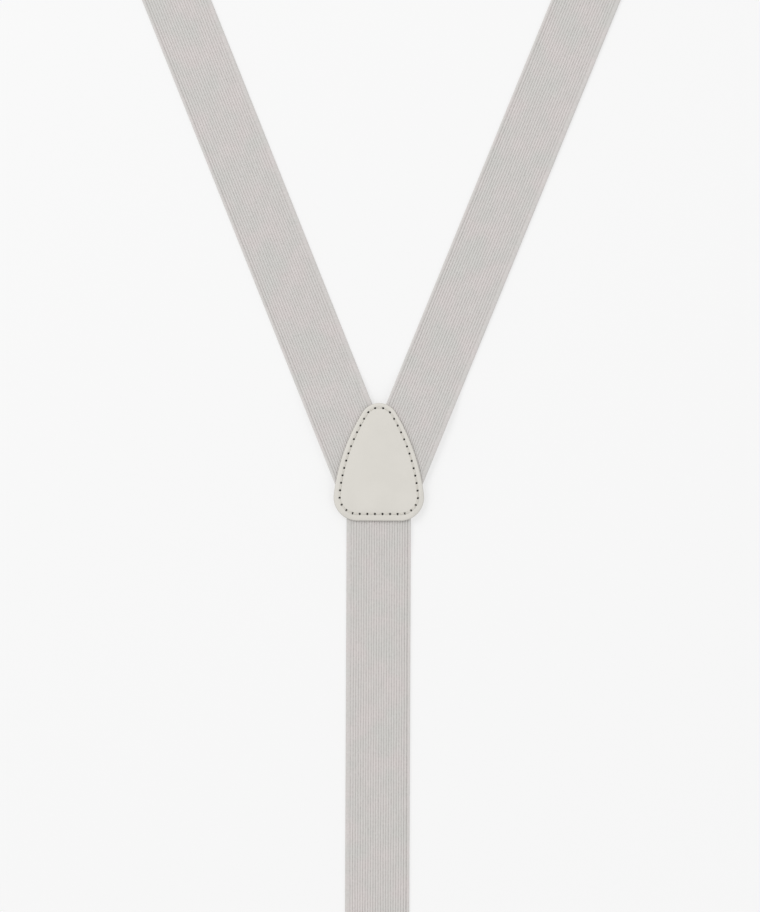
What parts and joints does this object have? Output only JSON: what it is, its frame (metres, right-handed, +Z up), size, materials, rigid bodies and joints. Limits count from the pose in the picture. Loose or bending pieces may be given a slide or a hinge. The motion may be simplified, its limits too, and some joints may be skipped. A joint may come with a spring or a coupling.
{
  "type": "suspenders",
  "caption": "Y-back dress suspenders laid flat: ribbed elastic webbing joined by a stitched leather patch, with sliding lever adjusters and swivelling snap clips.",
  "frame": {"origin": "middle of the box that the laid-out suspenders fill, on the surface they lie on", "axes": "+Y along the back strap towards the front clips, +X to the right seen from above with the front clips upwards, +Z up, out of the outer face"},
  "size_m": [0.497, 0.9134, 0.0101],
  "materials": {
    "leather": "smooth semi-matte off-white leather",
    "webbing": "matte pale warm-grey ribbed elastic webbing",
    "thread": "off-white sewing thread",
    "nickel": "satin nickel-plated stamped steel",
    "pin": "polished nickel-plated wire and pins",
    "spring": "blued spring steel",
    "jaw": "dark ridged rubber"
  },
  "bodies": {
    "root": {"patch_front": "leather", "patch_lining": "leather", "patch_stitching": "thread", "back_strap": "webbing", "left_shoulder_strap": "webbing", "right_shoulder_strap": "webbing"},
    "left_adjuster": {"left_adjuster_frame": "nickel", "left_adjuster_pin": "pin", "left_strap_loop": "webbing", "left_loop_seam": "thread"},
    "left_adjuster_lever": {"left_adjuster_lever": "nickel"},
    "left_ring": {"left_ring": "pin"},
    "left_clip": {"left_clip_base": "nickel", "left_clip_pin": "pin", "left_clip_spring": "spring", "left_clip_rivet": "pin", "left_lower_jaw_pad": "jaw"},
    "left_clip_lever": {"left_clip_lever": "nickel", "left_upper_jaw_pad": "jaw"},
    "right_adjuster": {"right_adjuster_frame": "nickel", "right_adjuster_pin": "pin", "right_strap_loop": "webbing", "right_loop_seam": "thread"},
    "right_adjuster_lever": {"right_adjuster_lever": "nickel"},
    "right_ring": {"right_ring": "pin"},
    "right_clip": {"right_clip_base": "nickel", "right_clip_pin": "pin", "right_clip_spring": "spring", "right_clip_rivet": "pin", "right_lower_jaw_pad": "jaw"},
    "right_clip_lever": {"right_clip_lever": "nickel", "right_upper_jaw_pad": "jaw"},
    "back_ring": {"back_ring": "pin", "back_strap_seam": "thread"},
    "back_clip": {"back_clip_base": "nickel", "back_clip_pin": "pin", "back_clip_spring": "spring", "back_clip_rivet": "pin", "back_lower_jaw_pad": "jaw"},
    "back_clip_lever": {"back_clip_lever": "nickel", "back_upper_jaw_pad": "jaw"}
  },
  "joints": [
    {"name": "left_adjuster_slide", "type": "slide", "parent": "root", "child": "left_adjuster", "axis": [-0.3746, 0.9272, 0], "range_m": [-0.1, 0.2], "deforming": ["left_shoulder_strap"]},
    {"name": "left_adjuster_lever_hinge", "type": "hinge", "parent": "left_adjuster", "child": "left_adjuster_lever", "pos_m": [-0.12699, 0.18426, 0.0066], "axis": [0.9272, 0.3746, 0], "range_deg": [0, 110]},
    {"name": "left_ring_slide", "type": "slide", "parent": "left_adjuster", "child": "left_ring", "axis": [-0.3746, 0.9272, 0], "range_m": [-0.1, 0.05], "deforming": ["left_strap_loop"]},
    {"name": "left_clip_swivel", "type": "hinge", "parent": "left_ring", "child": "left_clip", "pos_m": [-0.21858, 0.41096, 0.003], "axis": [0.9272, 0.3746, 0], "range_deg": [0, 90]},
    {"name": "left_clip_lever_hinge", "type": "hinge", "parent": "left_clip", "child": "left_clip_lever", "pos_m": [-0.23207, 0.44434, 0.007], "axis": [-0.9272, -0.3746, 0], "range_deg": [0, 100], "deforming": ["left_clip_spring"]},
    {"name": "right_adjuster_slide", "type": "slide", "parent": "root", "child": "right_adjuster", "axis": [0.3746, 0.9272, 0], "range_m": [-0.1, 0.2], "deforming": ["right_shoulder_strap"]},
    {"name": "right_adjuster_lever_hinge", "type": "hinge", "parent": "right_adjuster", "child": "right_adjuster_lever", "pos_m": [0.12699, 0.18426, 0.0066], "axis": [0.9272, -0.3746, 0], "range_deg": [0, 110]},
    {"name": "right_ring_slide", "type": "slide", "parent": "right_adjuster", "child": "right_ring", "axis": [0.3746, 0.9272, 0], "range_m": [-0.1, 0.05], "deforming": ["right_strap_loop"]},
    {"name": "right_clip_swivel", "type": "hinge", "parent": "right_ring", "child": "right_clip", "pos_m": [0.21858, 0.41096, 0.003], "axis": [0.9272, -0.3746, 0], "range_deg": [0, 90]},
    {"name": "right_clip_lever_hinge", "type": "hinge", "parent": "right_clip", "child": "right_clip_lever", "pos_m": [0.23207, 0.44434, 0.007], "axis": [-0.9272, 0.3746, 0], "range_deg": [0, 100], "deforming": ["right_clip_spring"]},
    {"name": "back_strap_stretch", "type": "slide", "parent": "root", "child": "back_ring", "axis": [0, -1, 0], "range_m": [0, 0.06], "stiffness_N_per_m": 150, "deforming": ["back_strap"]},
    {"name": "back_clip_swivel", "type": "hinge", "parent": "back_ring", "child": "back_clip", "pos_m": [0, -0.41265, 0.003], "axis": [-1, 0, 0], "range_deg": [0, 90]},
    {"name": "back_clip_lever_hinge", "type": "hinge", "parent": "back_clip", "child": "back_clip_lever", "pos_m": [0, -0.44865, 0.007], "axis": [1, 0, 0], "range_deg": [0, 100], "deforming": ["back_clip_spring"]}
  ],
  "couplings": [
    {"joint": "left_ring_slide", "follows": "left_adjuster_slide", "ratio": -0.5},
    {"joint": "right_ring_slide", "follows": "right_adjuster_slide", "ratio": -0.5}
  ]
}
